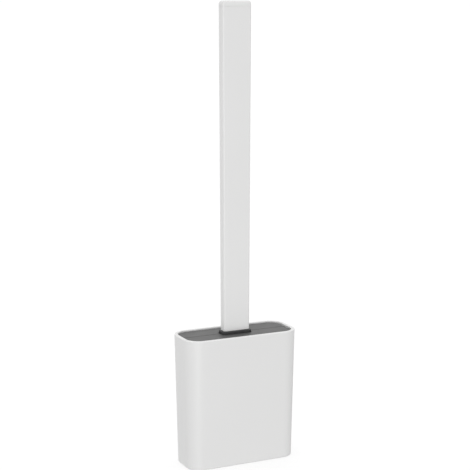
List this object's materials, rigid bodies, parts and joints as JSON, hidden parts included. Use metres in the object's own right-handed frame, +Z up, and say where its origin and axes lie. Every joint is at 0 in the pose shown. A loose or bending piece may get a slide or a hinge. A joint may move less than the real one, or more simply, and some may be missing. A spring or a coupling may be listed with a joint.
{
  "type": "toilet brush holder",
  "caption": "Slim upright toilet brush holder with rounded corners, a two-leaf lid that opens as the brush lifts, a lift-off drip tray and a long flat-handled brush.",
  "frame": {"origin": "middle of the footprint, on the floor that the feet stand on", "axes": "+Z up along the handle, +X along the holder's width, +Y through its depth towards the rear leaf of the lid"},
  "size_m": [0.105, 0.0446, 0.3982],
  "materials": {
    "white_plastic": "satin moulded plastic with a very fine grain",
    "lid_plastic": "satin dark grey moulded plastic",
    "frame_plastic": "satin dark grey moulded plastic",
    "collar_plastic": "near-black soft-touch plastic",
    "stem_plastic": "grey moulded plastic",
    "spine_plastic": "light grey moulded plastic",
    "bristle_rubber": "soft moulded rubber",
    "tray_plastic": "grey moulded plastic",
    "grate_plastic": "grey moulded plastic",
    "foot_rubber": "dark rubber",
    "steel": "ground steel",
    "spring_steel": "drawn spring wire",
    "core_steel": "rolled steel strip"
  },
  "bodies": {
    "base": {"drip_tray": "tray_plastic", "drain_grate": "grate_plastic", "rubber_feet": "foot_rubber"},
    "shell": {"outer_shell": "white_plastic", "lid_frame": "frame_plastic", "front_hinge_pin": "steel", "rear_hinge_pin": "steel", "front_leaf_spring": "spring_steel", "rear_leaf_spring": "spring_steel"},
    "front_leaf": {"front_lid_leaf": "lid_plastic"},
    "rear_leaf": {"rear_lid_leaf": "lid_plastic"},
    "brush": {"handle_shell": "white_plastic", "handle_end_cap": "white_plastic", "handle_core": "core_steel", "handle_collar": "collar_plastic", "stem": "stem_plastic", "stem_pins": "steel", "head_pins": "steel", "head_spine": "spine_plastic", "brush_head": "bristle_rubber"}
  },
  "joints": [
    {"name": "shell_lift", "type": "slide", "parent": "base", "child": "shell", "axis": [0, 0, 1], "range_m": [0, 0.035]},
    {"name": "brush_lift", "type": "slide", "parent": "shell", "child": "brush", "axis": [0, 0, 1], "range_m": [0, 0.125]},
    {"name": "front_leaf_hinge", "type": "hinge", "parent": "shell", "child": "front_leaf", "pos_m": [0, -0.0115, 0.112], "axis": [1, 0, 0], "range_deg": [0, 85], "deforming": ["front_leaf_spring"]},
    {"name": "rear_leaf_hinge", "type": "hinge", "parent": "shell", "child": "rear_leaf", "pos_m": [0, 0.0115, 0.112], "axis": [1, 0, 0], "range_deg": [-85, 0], "deforming": ["rear_leaf_spring"]}
  ],
  "couplings": [
    {"joint": "front_leaf_hinge", "follows": "brush_lift", "rad_per_m": 11.86},
    {"joint": "rear_leaf_hinge", "follows": "brush_lift", "rad_per_m": -11.86}
  ]
}
